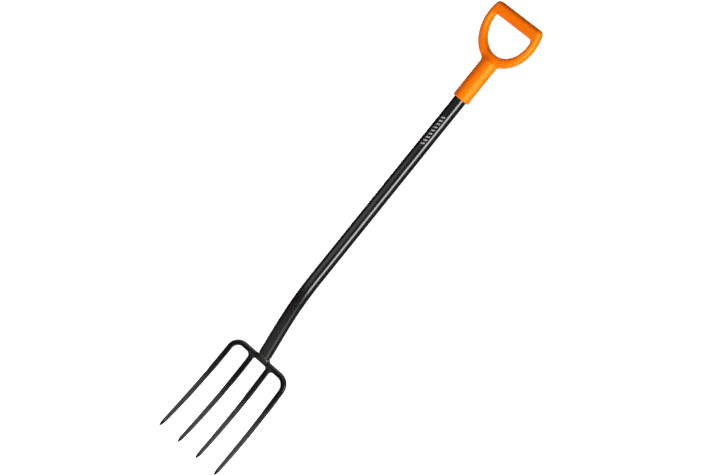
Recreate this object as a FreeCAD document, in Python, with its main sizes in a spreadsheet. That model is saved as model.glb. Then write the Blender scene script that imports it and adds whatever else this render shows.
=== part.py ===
"""Digging fork: a bent teardrop shaft with a moulded D handle and a welded head of four tines.

Frame: +Z up along the upper shaft, -Y to the front of the tool (the hollow side of the tines),
+X to the tool's side. The origin is on the shaft's axis, at the lower rim of the handle's socket.
"""
import FreeCAD
import Part
import math
import os

import Sketcher

V = FreeCAD.Vector

# Driving dimensions in millimetres and degrees.
SIZES = {
    # Shaft: a teardrop section, round at the front and narrower at the back, round the shaft's axis.
    "shaft_front_radius": 14.9,
    "shaft_back_radius": 8.5,
    "shaft_back_offset": 9,
    "sleeve_thickness": 1.2,
    "tube_wall": 1.3,
    "bend_start": 490.3,
    "bend_radius": 406,
    "bend_angle": 18.4,
    "head_reach": 88.3,
    "sleeve_end_gap": 14,
    "tube_end_gap": 9.5,
    # Handle: a socket over the shaft's top, with a D grip that leans forward from the neck.
    "socket_wall": 4.65,
    "socket_clearance": 0.05,
    "socket_bore_depth": 76,
    "socket_height": 97.5,
    "socket_rim_radius": 3,
    "neck_height": 95,
    "neck_top": 115.5,
    "neck_top_half_width": 20,
    "neck_top_half_depth": 10.5,
    "grip_lean": 10.4,
    "grip_depth": 24,
    "grip_centre_height": 87,
    "grip_outer_half_width": 68.5,
    "grip_outer_half_height": 84.8,
    "grip_top": 125.8,
    "hand_half_width": 53.6,
    "hand_half_height": 62.2,
    "hand_top": 98.3,
    "grip_corner_radius": 9,
    "hand_corner_radius": 7,
    "grip_outer_rounding": 8.5,
    "grip_inner_rounding": 6.5,
    # Screw at the back of the socket.
    "screw_height": 41,
    "screw_radius": 2,
    "screw_hole_radius": 2.1,
    "screw_length": 15,
    "screw_head_radius": 4,
    "screw_head_height": 2.2,
    "screw_head_sink": 1.4,
    "screw_head_clearance": 0.2,
    "screw_drive_width": 3,
    "screw_drive_depth": 1.5,
    # Head: crossbar and tines, leaning back from the vertical at the crossbar.
    "head_lean": 3.3,
    "bar_height": 12.8,
    "bar_depth": 9.6,
    "bar_rounding": 2,
    "shoulder_radius": 26,
    "outer_tine_half_spacing": 80.5,
    "inner_tine_half_spacing": 25.4,
    "outer_tine_fan": 1.53,
    "inner_tine_fan": 0.75,
    "tine_reach": 251.9,
    "tine_curve_radius": 956,
    "tine_shank_end": 234.9,
    "tine_root_width": 10.9,
    "tine_root_depth": 8.3,
    "tine_end_width": 8.2,
    "tine_end_depth": 6.4,
    "tine_tip_width": 2.2,
    "tine_tip_depth": 1.8,
    # Tang inside the tube's lower end, on a foot that narrows to the crossbar's depth.
    "tang_length": 62,
    "tang_clearance": 0.1,
    "foot_base": 3,
    "foot_base_half_width": 12,
    "foot_base_half_depth": 4.5,
    "foot_top": 13,
    "foot_top_half_width": 10.5,
    "foot_top_half_depth": 11.5,
    # Weld collar round the foot and the tube's end.
    "collar_base_half_width": 17.5,
    "collar_base_half_depth": 6.6,
    "collar_middle": 8.5,
    "collar_middle_half_width": 15.3,
    "collar_middle_half_depth": 15.6,
    "collar_top": 12,
    "collar_top_half_width": 14.4,
    "collar_top_half_depth": 15.7,
    "collar_back_offset": 1.3,
    # Fillet welds at the roots of the inner tines.
    "root_weld_outer_leg": 9.5,
    "root_weld_inner_leg": 6,
    "root_weld_height": 8.5,
    "root_weld_depth_leg": 0.8,
}

# Share of the way down a tine's shank, and how much of its taper is done there.
TINE_STATIONS = ((0.15, 0), (0.35, 0.03), (0.56, 0.13), (0.78, 0.44), (1, 1))

document = FreeCAD.newDocument("digging_fork")
sheet = document.addObject("Spreadsheet::Sheet", "sizes")
for row, (alias, value) in enumerate(SIZES.items(), start=1):
    sheet.set(f"A{row}", alias)
    sheet.set(f"B{row}", str(value))
    sheet.setAlias(f"B{row}", alias)
document.recompute()


def size(alias):
    """Value of a driving dimension, from the sheet."""
    return float(sheet.get(alias))


def new_body(name):
    body = document.addObject("PartDesign::Body", name)
    body.Label = name
    return body


def origin_plane(body, role):
    return next(item for item in body.Origin.OriginFeatures if item.Role == role)


def new_sketch(body, name, role, offset=None, turn=0.0, turn_axis=V(1, 0, 0)):
    """Sketch on one of the body's own planes, shifted by offset and turned about its own turn_axis."""
    sketch = body.newObject("Sketcher::SketchObject", name)
    sketch.AttachmentSupport = [(origin_plane(body, role), "")]
    sketch.MapMode = "FlatFace"
    rotation = FreeCAD.Rotation(turn_axis, turn)
    sketch.AttachmentOffset = FreeCAD.Placement(offset or V(0, 0, 0), rotation)
    return sketch


def bind(thing, **formulas):
    """Bind properties to formulas; a double underscore stands for a dot in the property's path."""
    for path, formula in formulas.items():
        thing.setExpression(path.replace("__", "."), formula)


def dimension(sketch, name, kind, *arguments, formula):
    """Add a driving dimension to a sketch and bind it to a formula."""
    index = sketch.addConstraint(Sketcher.Constraint(kind, *arguments))
    sketch.renameConstraint(index, name)
    sketch.setExpression(f"Constraints.{name}", formula)


def add_teardrop(sketch, prefix, growth, growth_formula):
    """Closed teardrop round the sketch's origin, its outline moved outwards by growth."""
    front = size("shaft_front_radius") + growth
    back = size("shaft_back_radius") + growth
    offset = size("shaft_back_offset")
    tilt = math.asin((front - back) / offset)
    front_arc = sketch.addGeometry(Part.ArcOfCircle(
        Part.Circle(V(0, 0, 0), V(0, 0, 1), front), math.pi - tilt, 2 * math.pi + tilt))
    back_arc = sketch.addGeometry(Part.ArcOfCircle(
        Part.Circle(V(0, offset, 0), V(0, 0, 1), back), tilt, math.pi - tilt))
    reach = V(math.cos(tilt), math.sin(tilt), 0)
    mirrored = V(-reach.x, reach.y, 0)
    centre = V(0, offset, 0)
    right = sketch.addGeometry(Part.LineSegment(reach * front, centre + reach * back))
    left = sketch.addGeometry(Part.LineSegment(centre + mirrored * back, mirrored * front))
    for joint in ((front_arc, 2, right, 1), (right, 2, back_arc, 1),
                  (back_arc, 2, left, 1), (left, 2, front_arc, 1)):
        sketch.addConstraint(Sketcher.Constraint("Tangent", *joint))
    sketch.addConstraint(Sketcher.Constraint("Coincident", front_arc, 3, -1, 1))
    sketch.addConstraint(Sketcher.Constraint("PointOnObject", back_arc, 3, -2))
    dimension(sketch, f"{prefix}_offset", "DistanceY", -1, 1, back_arc, 3, offset,
              formula="sizes.shaft_back_offset")
    dimension(sketch, f"{prefix}_front", "Radius", front_arc, front,
              formula=f"sizes.shaft_front_radius + ({growth_formula})")
    dimension(sketch, f"{prefix}_back", "Radius", back_arc, back,
              formula=f"sizes.shaft_back_radius + ({growth_formula})")


def add_circle(sketch, name, radius, formula):
    """Circle about the sketch's origin."""
    circle = sketch.addGeometry(Part.Circle(V(0, 0, 0), V(0, 0, 1), radius))
    sketch.addConstraint(Sketcher.Constraint("Coincident", circle, 3, -1, 1))
    dimension(sketch, name, "Radius", circle, radius, formula=formula)


def add_rounded_rectangle(sketch, width, depth, rounding, width_formula, depth_formula,
                          rounding_formula):
    """Rectangle about the sketch's origin with four equal round corners."""
    right = width / 2
    top = depth / 2
    inner_right = right - rounding
    inner_top = top - rounding
    sides = [
        Part.LineSegment(V(-inner_right, -top, 0), V(inner_right, -top, 0)),
        Part.LineSegment(V(right, -inner_top, 0), V(right, inner_top, 0)),
        Part.LineSegment(V(inner_right, top, 0), V(-inner_right, top, 0)),
        Part.LineSegment(V(-right, inner_top, 0), V(-right, -inner_top, 0)),
    ]
    centres = [V(inner_right, -inner_top, 0), V(inner_right, inner_top, 0),
               V(-inner_right, inner_top, 0), V(-inner_right, -inner_top, 0)]
    lines = [sketch.addGeometry(side) for side in sides]
    arcs = []
    for quarter, centre in enumerate(centres):
        start = (quarter - 1) * math.pi / 2
        circle = Part.Circle(centre, V(0, 0, 1), rounding)
        arcs.append(sketch.addGeometry(Part.ArcOfCircle(circle, start, start + math.pi / 2)))
    for quarter in range(4):
        following = (quarter + 1) % 4
        sketch.addConstraint(Sketcher.Constraint("Tangent", lines[quarter], 2, arcs[quarter], 1))
        sketch.addConstraint(Sketcher.Constraint("Tangent", arcs[quarter], 2, lines[following], 1))
    sketch.addConstraint(Sketcher.Constraint("Horizontal", lines[0]))
    sketch.addConstraint(Sketcher.Constraint("Vertical", lines[1]))
    for other in arcs[1:]:
        sketch.addConstraint(Sketcher.Constraint("Equal", arcs[0], other))
    sketch.addConstraint(Sketcher.Constraint("Symmetric", arcs[0], 3, arcs[2], 3, -1, 1))
    dimension(sketch, "rounding", "Radius", arcs[0], rounding, formula=rounding_formula)
    dimension(sketch, "width", "DistanceX", lines[3], 1, lines[1], 1, width, formula=width_formula)
    dimension(sketch, "depth", "DistanceY", lines[0], 1, lines[2], 2, depth, formula=depth_formula)


def ellipse_sketch(body, name, height, half_width, half_depth, back=0, back_formula="0"):
    """Level ellipse at a height over the body's origin, its sizes read from the sheet."""
    across = size(half_width)
    deep = size(half_depth)
    sketch = new_sketch(body, name, "XY_Plane", offset=V(0, back, size(height)))
    bind(sketch, AttachmentOffset__Base__y=back_formula,
         AttachmentOffset__Base__z=f"sizes.{height}")
    wide = across > deep
    ends = (V(across, 0, 0), V(0, deep, 0))
    major, minor = ends if wide else (ends[1], V(-across, 0, 0))
    ellipse = sketch.addGeometry(Part.Ellipse(major, minor, V(0, 0, 0)))
    sketch.exposeInternalGeometry(ellipse)
    major_line, minor_line = ellipse + 1, ellipse + 2
    sketch.addConstraint(Sketcher.Constraint("Coincident", ellipse, 3, -1, 1))
    sketch.addConstraint(Sketcher.Constraint("Horizontal" if wide else "Vertical", major_line))
    width_line, depth_line = (major_line, minor_line) if wide else (minor_line, major_line)
    dimension(sketch, "width", "Distance", width_line, 1, width_line, 2, 2 * across,
              formula=f"2 * sizes.{half_width}")
    dimension(sketch, "depth", "Distance", depth_line, 1, depth_line, 2, 2 * deep,
              formula=f"2 * sizes.{half_depth}")
    return sketch


def pad(body, name, sketch, length_formula, midplane=False, backwards=False):
    feature = body.newObject("PartDesign::Pad", name)
    feature.Profile = sketch
    feature.Midplane = midplane
    feature.Reversed = backwards
    bind(feature, Length=length_formula)
    sketch.Visibility = False
    return feature


def cut(body, name, sketch, length_formula, backwards=False, midplane=False):
    """Pocket that has to take material away."""
    document.recompute()
    before = body.Shape.Volume
    feature = body.newObject("PartDesign::Pocket", name)
    feature.Profile = sketch
    feature.Midplane = midplane
    feature.Reversed = backwards
    bind(feature, Length=length_formula)
    document.recompute()
    if body.Shape.Volume >= before:
        raise RuntimeError(f"{body.Label}: {name} cuts nothing")
    return feature


def fillet(body, name, base, wanted, radius_formula):
    """Round those edges of base's shape that wanted(edge) picks."""
    document.recompute()
    names = [f"Edge{index}" for index, edge in enumerate(base.Shape.Edges, start=1) if wanted(edge)]
    feature = body.newObject("PartDesign::Fillet", name)
    feature.Base = (base, names)
    bind(feature, Radius=radius_formula)
    document.recompute()
    return feature


def loft(body, name, sections):
    feature = body.newObject("PartDesign::AdditiveLoft", name)
    feature.Profile = sections[0]
    feature.Sections = sections[1:]
    return feature


def pipe(body, name, profile, spine, kind="PartDesign::AdditivePipe"):
    feature = body.newObject(kind, name)
    feature.Profile = profile
    feature.Spine = (spine, [])
    return feature


# ---------------------------------------------------------------- shaft

def shaft_spine(body, top_formula, top, end_gap, end_gap_formula):
    """Shaft axis in the tool's middle plane: straight down, one bend backwards, straight to the head."""
    spine = new_sketch(body, f"{body.Name}_spine", "YZ_Plane")
    radius = size("bend_radius")
    angle = math.radians(size("bend_angle"))
    start = V(0, -size("bend_start"), 0)
    end = start + V(radius * (1 - math.cos(angle)), -radius * math.sin(angle), 0)
    tail = end + V(math.sin(angle), -math.cos(angle), 0) * (size("head_reach") - end_gap)
    upper = spine.addGeometry(Part.LineSegment(V(0, top, 0), start))
    circle = Part.Circle(start + V(radius, 0, 0), V(0, 0, 1), radius)
    bend = spine.addGeometry(Part.ArcOfCircle(circle, math.pi, math.pi + angle))
    lower = spine.addGeometry(Part.LineSegment(end, tail))
    spine.addConstraint(Sketcher.Constraint("PointOnObject", upper, 1, -2))
    spine.addConstraint(Sketcher.Constraint("PointOnObject", upper, 2, -2))
    spine.addConstraint(Sketcher.Constraint("Tangent", upper, 2, bend, 1))
    spine.addConstraint(Sketcher.Constraint("Tangent", bend, 2, lower, 1))
    dimension(spine, "top", "DistanceY", -1, 1, upper, 1, top, formula=top_formula)
    dimension(spine, "bend_start", "DistanceY", upper, 2, -1, 1, size("bend_start"),
              formula="sizes.bend_start")
    dimension(spine, "bend_radius", "Radius", bend, radius, formula="sizes.bend_radius")
    dimension(spine, "bend_angle", "Angle", bend, angle, formula="sizes.bend_angle * 1 deg")
    dimension(spine, "lower_length", "Distance", lower, 1, lower, 2, (tail - end).Length,
              formula=f"sizes.head_reach - {end_gap_formula}")
    return spine


def shaft_skin(name, outer, outer_formula, inner, inner_formula, end_gap):
    """Hollow teardrop layer of the shaft, between two growths of its outline."""
    body = new_body(name)
    top = size("socket_bore_depth")
    profile = new_sketch(body, f"{name}_section", "XY_Plane", offset=V(0, 0, top))
    bind(profile, AttachmentOffset__Base__z="sizes.socket_bore_depth")
    add_teardrop(profile, "outside", outer, outer_formula)
    add_teardrop(profile, "inside", inner, inner_formula)
    spine = shaft_spine(body, "sizes.socket_bore_depth", top, size(end_gap), f"sizes.{end_gap}")
    pipe(body, f"{name}_wall", profile, spine)
    screw_hole(body)
    return body


def screw_hole(body):
    """Hole for the handle screw through the wall at the back."""
    middle = size("shaft_back_offset")
    hole = new_sketch(body, f"{body.Name}_screw_hole_outline", "XZ_Plane",
                      offset=V(0, size("screw_height"), -middle))
    bind(hole, AttachmentOffset__Base__y="sizes.screw_height",
         AttachmentOffset__Base__z="-sizes.shaft_back_offset")
    add_circle(hole, "radius", size("screw_hole_radius"), "sizes.screw_hole_radius")
    cut(body, f"{body.Name}_screw_hole", hole, "sizes.shaft_front_radius + sizes.socket_wall")


def shaft_sleeve():
    return shaft_skin("shaft_sleeve", 0, "0", -size("sleeve_thickness"), "-sizes.sleeve_thickness",
                      "sleeve_end_gap")


def shaft_tube():
    inner = -size("sleeve_thickness") - size("tube_wall")
    return shaft_skin("shaft_tube", -size("sleeve_thickness"), "-sizes.sleeve_thickness",
                      inner, "-sizes.sleeve_thickness - sizes.tube_wall", "tube_end_gap")


# ---------------------------------------------------------------- handle

def add_truncated_ellipse(sketch, half_width, half_height, top, centre_height):
    """Upright ellipse on the sketch's vertical axis, cut off by a level line above its centre."""
    middle = size(centre_height)
    across = size(half_width)
    tall = size(half_height)
    opening = math.acos((size(top) - middle) / tall)
    ellipse = Part.Ellipse(V(0, middle + tall, 0), V(across, middle, 0), V(0, middle, 0))
    arc = sketch.addGeometry(Part.ArcOfEllipse(ellipse, opening, 2 * math.pi - opening))
    sketch.exposeInternalGeometry(arc)
    major, minor = arc + 1, arc + 2
    edge = across * math.sin(opening)
    chord = sketch.addGeometry(Part.LineSegment(V(edge, size(top), 0), V(-edge, size(top), 0)))
    sketch.addConstraint(Sketcher.Constraint("Coincident", arc, 2, chord, 1))
    sketch.addConstraint(Sketcher.Constraint("Coincident", chord, 2, arc, 1))
    sketch.addConstraint(Sketcher.Constraint("Horizontal", chord))
    sketch.addConstraint(Sketcher.Constraint("Vertical", major))
    sketch.addConstraint(Sketcher.Constraint("PointOnObject", arc, 3, -2))
    dimension(sketch, "centre_height", "DistanceY", -1, 1, arc, 3, middle,
              formula=f"sizes.{centre_height}")
    dimension(sketch, "width", "Distance", minor, 1, minor, 2, 2 * across,
              formula=f"2 * sizes.{half_width}")
    dimension(sketch, "height", "Distance", major, 1, major, 2, 2 * tall,
              formula=f"2 * sizes.{half_height}")
    dimension(sketch, "top", "DistanceY", -1, 1, chord, 1, size(top), formula=f"sizes.{top}")


def grip_sketch(body, name):
    """Sketch in the plane of the D, which leans forward about the neck."""
    sketch = new_sketch(body, name, "XZ_Plane", offset=V(0, size("neck_height"), 0),
                        turn=size("grip_lean"))
    bind(sketch, AttachmentOffset__Base__y="sizes.neck_height",
         AttachmentOffset__Rotation__Angle="sizes.grip_lean")
    return sketch


def d_handle():
    body = new_body("d_handle")
    outline = grip_sketch(body, "grip_outline")
    add_truncated_ellipse(outline, "grip_outer_half_width", "grip_outer_half_height", "grip_top",
                          "grip_centre_height")
    plate = pad(body, "grip_plate", outline, "sizes.grip_depth", midplane=True)

    depth = size("grip_depth")

    def spans_depth(edge):
        """Straight edges from the D's front face to its back face: its corners."""
        return edge.Curve.TypeId == "Part::GeomLine" and abs(edge.Length - depth) < 0.01

    corners = fillet(body, "grip_corners", plate, spans_depth, "sizes.grip_corner_radius")

    opening = grip_sketch(body, "hand_opening_outline")
    add_truncated_ellipse(opening, "hand_half_width", "hand_half_height", "hand_top",
                          "grip_centre_height")
    ring = cut(body, "hand_opening", opening, "2 * sizes.grip_depth", midplane=True)

    lean = math.radians(size("grip_lean"))
    across = V(1, 0, 0)
    upward = V(0, -math.sin(lean), math.cos(lean))
    neck = V(0, 0, size("neck_height"))

    def in_grip(point):
        """Place of a point in the plane of the D: sideways, up from the neck, behind the plane."""
        away = point - neck
        return away.dot(across), away.dot(upward), away.dot(upward.cross(across))

    def hand_corner(edge):
        _, height, _ = in_grip(edge.CenterOfMass)
        return spans_depth(edge) and abs(height - size("hand_top")) < 1

    inner_corners = fillet(body, "hand_corners", ring, hand_corner, "sizes.hand_corner_radius")

    def rim(edge, inside):
        """Edges of the D's front and back faces, round the hand opening or round the outside."""
        points = [in_grip(point) for point in edge.discretize(9)]
        flat = all(abs(abs(behind) - depth / 2) < 0.01 for _, _, behind in points)
        middle = size("grip_centre_height")
        scale_x = (size("grip_outer_half_width") + size("hand_half_width")) / 2
        scale_y = (size("grip_outer_half_height") + size("hand_half_height")) / 2
        between = (size("grip_top") + size("hand_top")) / 2
        within = all(math.hypot(x / scale_x, (y - middle) / scale_y) < 1 and y < between
                     for x, y, _ in points)
        return flat and within == inside

    outer = fillet(body, "grip_outer_edges", inner_corners, lambda edge: rim(edge, False),
                   "sizes.grip_outer_rounding")
    fillet(body, "grip_inner_edges", outer, lambda edge: rim(edge, True),
           "sizes.grip_inner_rounding")

    socket = new_sketch(body, "socket_outline", "XY_Plane")
    add_teardrop(socket, "socket", size("socket_wall"), "sizes.socket_wall")
    socket_pad = pad(body, "socket", socket, "sizes.socket_height")

    neck_base = new_sketch(body, "neck_base_outline", "XY_Plane", offset=V(0, 0, size("socket_height")))
    bind(neck_base, AttachmentOffset__Base__z="sizes.socket_height")
    add_teardrop(neck_base, "neck_base", size("socket_wall"), "sizes.socket_wall")
    forward = (size("neck_top") - size("neck_height")) * math.tan(lean)
    neck_top = ellipse_sketch(body, "neck_top_outline", "neck_top", "neck_top_half_width",
                              "neck_top_half_depth", -forward,
                              "(sizes.neck_height - sizes.neck_top) * tan(sizes.grip_lean)")
    loft(body, "neck_blend", [neck_base, neck_top])

    def lower_rim(edge):
        return all(abs(point.z) < 0.01 for point in edge.discretize(5))

    document.recompute()
    fillet(body, "socket_rim", body.Tip, lower_rim, "sizes.socket_rim_radius")

    bore = new_sketch(body, "socket_bore_outline", "XY_Plane")
    add_teardrop(bore, "bore", size("socket_clearance"), "sizes.socket_clearance")
    cut(body, "socket_bore", bore, "sizes.socket_bore_depth", backwards=True)
    screw_hole(body)
    sink = new_sketch(body, "screw_seat_outline", "XZ_Plane",
                      offset=V(0, size("screw_height"), -screw_seat()))
    bind(sink, AttachmentOffset__Base__y="sizes.screw_height",
         AttachmentOffset__Base__z=f"-({SCREW_SEAT})")
    add_circle(sink, "radius", size("screw_head_radius") + size("screw_head_clearance"),
               "sizes.screw_head_radius + sizes.screw_head_clearance")
    cut(body, "screw_seat", sink, "sizes.screw_head_height + sizes.socket_wall")
    return body


# The screw's head bears on a seat sunk into the socket's back, this far behind the shaft's axis.
SCREW_SEAT = ("sizes.shaft_back_offset + sizes.shaft_back_radius + sizes.socket_wall"
              " - sizes.screw_head_sink")


def screw_seat():
    return (size("shaft_back_offset") + size("shaft_back_radius") + size("socket_wall")
            - size("screw_head_sink"))


def handle_screw():
    """Pan-head screw that points forward, its head at the back of the socket."""
    body = new_body("handle_screw")
    shank = new_sketch(body, "shank_outline", "XY_Plane")
    add_circle(shank, "radius", size("screw_radius"), "sizes.screw_radius")
    pad(body, "shank", shank, "sizes.screw_length", backwards=True)
    head = new_sketch(body, "head_outline", "XY_Plane")
    add_circle(head, "radius", size("screw_head_radius"), "sizes.screw_head_radius")
    head_pad = pad(body, "head", head, "sizes.screw_head_height")
    top = size("screw_head_height")

    def crown(edge):
        return abs(edge.CenterOfMass.z - top) < 0.01 and edge.Length > 1

    fillet(body, "head_crown", head_pad, crown, "0.6 * sizes.screw_head_height")
    drive = new_sketch(body, "drive_outline", "XY_Plane", offset=V(0, 0, top))
    bind(drive, AttachmentOffset__Base__z="sizes.screw_head_height")
    reach = size("screw_drive_width") / math.sqrt(3)
    corners = [V(reach * math.cos(k * math.pi / 3), reach * math.sin(k * math.pi / 3), 0)
               for k in range(6)]
    sides = [drive.addGeometry(Part.LineSegment(corners[k], corners[(k + 1) % 6])) for k in range(6)]
    ring = drive.addGeometry(Part.Circle(V(0, 0, 0), V(0, 0, 1), reach), True)
    for k, side in enumerate(sides):
        drive.addConstraint(Sketcher.Constraint("Coincident", side, 2, sides[(k + 1) % 6], 1))
        drive.addConstraint(Sketcher.Constraint("PointOnObject", side, 1, ring))
        if k:
            drive.addConstraint(Sketcher.Constraint("Equal", sides[0], side))
    drive.addConstraint(Sketcher.Constraint("Coincident", ring, 3, -1, 1))
    drive.addConstraint(Sketcher.Constraint("PointOnObject", sides[0], 1, -1))
    dimension(drive, "corner_radius", "Radius", ring, reach, formula="sizes.screw_drive_width / sqrt(3)")
    cut(body, "drive_recess", drive, "sizes.screw_drive_depth")
    body.Placement = FreeCAD.Placement(V(0, screw_seat(), size("screw_height")),
                                       FreeCAD.Rotation(V(1, 0, 0), -90))
    bind(body, Placement__Base__y=SCREW_SEAT, Placement__Base__z="sizes.screw_height")
    return body


# ---------------------------------------------------------------- head

HEAD_BACK = ("sizes.bend_radius * (1 - cos(sizes.bend_angle))"
             " + sizes.head_reach * sin(sizes.bend_angle)")
HEAD_HEIGHT = ("-sizes.bend_start - sizes.bend_radius * sin(sizes.bend_angle)"
               " - sizes.head_reach * cos(sizes.bend_angle)")


def place_at_crossbar(body, lean):
    """Put a body's origin at the crossbar's centre, its Z axis leaning forward by an angle."""
    angle = math.radians(size("bend_angle"))
    back = size("bend_radius") * (1 - math.cos(angle)) + size("head_reach") * math.sin(angle)
    height = (-size("bend_start") - size("bend_radius") * math.sin(angle)
              - size("head_reach") * math.cos(angle))
    body.Placement = FreeCAD.Placement(V(0, back, height), FreeCAD.Rotation(V(1, 0, 0), size(lean)))
    bind(body, Placement__Base__y=HEAD_BACK, Placement__Base__z=HEAD_HEIGHT,
         Placement__Rotation__Angle=f"sizes.{lean}")


def tine_section(body, name, drop, drop_formula, root_x, root_formula, fan, width, width_formula,
                 depth, depth_formula, rounding, rounding_formula):
    """Level section of a tine, at a drop below the crossbar's centre, on the tine's curved line."""
    radius = size("tine_curve_radius")
    spread = math.tan(math.radians(size(fan)))
    side = 1 if root_x > 0 else -1
    run = drop - size("shoulder_radius")
    sketch = new_sketch(body, name, "XY_Plane",
                        offset=V(root_x + side * run * spread, -run * run / (2 * radius), -drop))
    run_formula = f"(({drop_formula}) - sizes.shoulder_radius)"
    bind(sketch, AttachmentOffset__Base__x=f"{root_formula} + {side} * tan(sizes.{fan}) * {run_formula}",
         AttachmentOffset__Base__y=f"0 - {run_formula} ^ 2 / (2 * sizes.tine_curve_radius)",
         AttachmentOffset__Base__z=f"-({drop_formula})")
    add_rounded_rectangle(sketch, width, depth, rounding, width_formula, depth_formula,
                          rounding_formula)
    return sketch


def tine(body, side, spacing, fan, first_width, first_depth):
    """Tapered tine below the shoulders' drop: a curved shank and a sharpened point."""
    root = size("shoulder_radius")
    root_formula = "sizes.shoulder_radius"
    root_x = side * size(spacing)
    root_x_formula = f"{side} * sizes.{spacing}"
    shank_end = size("tine_shank_end")
    place = (root_x, root_x_formula, fan)
    rounding_share = size("bar_rounding") / size("bar_depth")

    def section(name, drop, drop_formula, width, width_formula, depth, depth_formula):
        return tine_section(body, f"{body.Name}_{name}", drop, drop_formula, *place,
                            width, width_formula, depth, depth_formula, rounding_share * depth,
                            f"sizes.bar_rounding / sizes.bar_depth * ({depth_formula})")

    sections = [section("root", root, root_formula, size(first_width), f"sizes.{first_width}",
                        size(first_depth), f"sizes.{first_depth}")]
    for number, (share, taper) in enumerate(TINE_STATIONS, start=1):
        drop = root + share * (shank_end - root)
        width = size("tine_root_width") * (1 - taper) + size("tine_end_width") * taper
        depth = size("tine_root_depth") * (1 - taper) + size("tine_end_depth") * taper
        sections.append(section(
            f"station_{number}", drop,
            f"({root_formula}) + {share} * (sizes.tine_shank_end - ({root_formula}))",
            width, f"sizes.tine_root_width * {1 - taper} + sizes.tine_end_width * {taper}",
            depth, f"sizes.tine_root_depth * {1 - taper} + sizes.tine_end_depth * {taper}"))
    tip = section("tip", size("tine_reach"), "sizes.tine_reach",
                  size("tine_tip_width"), "sizes.tine_tip_width",
                  size("tine_tip_depth"), "sizes.tine_tip_depth")
    shank = loft(body, f"{body.Name}_shank", sections)
    point = loft(body, f"{body.Name}_point", [sections[-1], tip])
    point.Ruled = True
    return shank, point


def tine_bow():
    """Crossbar and both outer tines: one bar, bent at two shoulders."""
    body = new_body("tine_bow")
    reach = size("outer_tine_half_spacing")
    radius = size("shoulder_radius")
    profile = new_sketch(body, "bar_section", "YZ_Plane")
    add_rounded_rectangle(profile, size("bar_depth"), size("bar_height"), size("bar_rounding"),
                          "sizes.bar_depth", "sizes.bar_height", "sizes.bar_rounding")
    spine = new_sketch(body, "bar_line", "XZ_Plane")
    bar = spine.addGeometry(Part.LineSegment(V(0, 0, 0), V(reach - radius, 0, 0)))
    circle = Part.Circle(V(reach - radius, -radius, 0), V(0, 0, 1), radius)
    shoulder = spine.addGeometry(Part.ArcOfCircle(circle, 0, math.pi / 2))
    spine.addConstraint(Sketcher.Constraint("Coincident", bar, 1, -1, 1))
    spine.addConstraint(Sketcher.Constraint("PointOnObject", bar, 2, -1))
    spine.addConstraint(Sketcher.Constraint("Tangent", bar, 2, shoulder, 2))
    spine.addConstraint(Sketcher.Constraint("Horizontal", shoulder, 3, shoulder, 1))
    dimension(spine, "radius", "Radius", shoulder, radius, formula="sizes.shoulder_radius")
    dimension(spine, "reach", "DistanceX", -1, 1, shoulder, 1, reach,
              formula="sizes.outer_tine_half_spacing")
    half_bar = pipe(body, "half_bar", profile, spine)
    shank, point = tine(body, 1, "outer_tine_half_spacing", "outer_tine_fan",
                        "bar_height", "bar_depth")
    document.recompute()
    mirror = body.newObject("PartDesign::Mirrored", "other_half")
    mirror.Originals = [half_bar, shank, point]
    mirror.MirrorPlane = (origin_plane(body, "YZ_Plane"), [""])
    body.Tip = mirror
    place_at_crossbar(body, "head_lean")
    return body


def root_outline(body, name, side, drop, drop_formula, growth=(0, "0"), depth_growth=(0, "0"),
                 outward=(0, "0")):
    """Level outline round an inner tine's straight root.

    It is larger than the tine by twice the growths and moved outward; each of these is a value
    with its formula.
    """
    growth, growth_formula = growth
    depth_growth, depth_growth_formula = depth_growth
    outward, outward_formula = outward
    outline = new_sketch(
        body, name, "XY_Plane", offset=V(side * (size("inner_tine_half_spacing") + outward), 0, -drop))
    bind(outline,
         AttachmentOffset__Base__x=f"{side} * (sizes.inner_tine_half_spacing + {outward_formula})",
         AttachmentOffset__Base__z=f"-({drop_formula})")
    rounding = size("bar_rounding") * size("tine_root_depth") / size("bar_depth")
    add_rounded_rectangle(
        outline, size("tine_root_width") + 2 * growth, size("tine_root_depth") + 2 * depth_growth,
        rounding, f"sizes.tine_root_width + 2 * ({growth_formula})",
        f"sizes.tine_root_depth + 2 * ({depth_growth_formula})",
        "sizes.bar_rounding * sizes.tine_root_depth / sizes.bar_depth")
    return outline


def inner_tine(name, side):
    """Inner tine: a straight root under the crossbar, then the same curve as the outer tines."""
    body = new_body(name)
    root = root_outline(body, f"{name}_root_outline", side, size("bar_height") / 2,
                        "sizes.bar_height / 2")
    pad(body, f"{name}_root", root, "sizes.shoulder_radius - sizes.bar_height / 2", backwards=True)
    tine(body, side, "inner_tine_half_spacing", "inner_tine_fan", "tine_root_width",
         "tine_root_depth")
    place_at_crossbar(body, "head_lean")
    return body


# Concave profile of a fillet weld: share of its height, and share of its leg left there.
WELD_STATIONS = ((0, 1), (0.3, 0.42), (1, 0.04))


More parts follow.
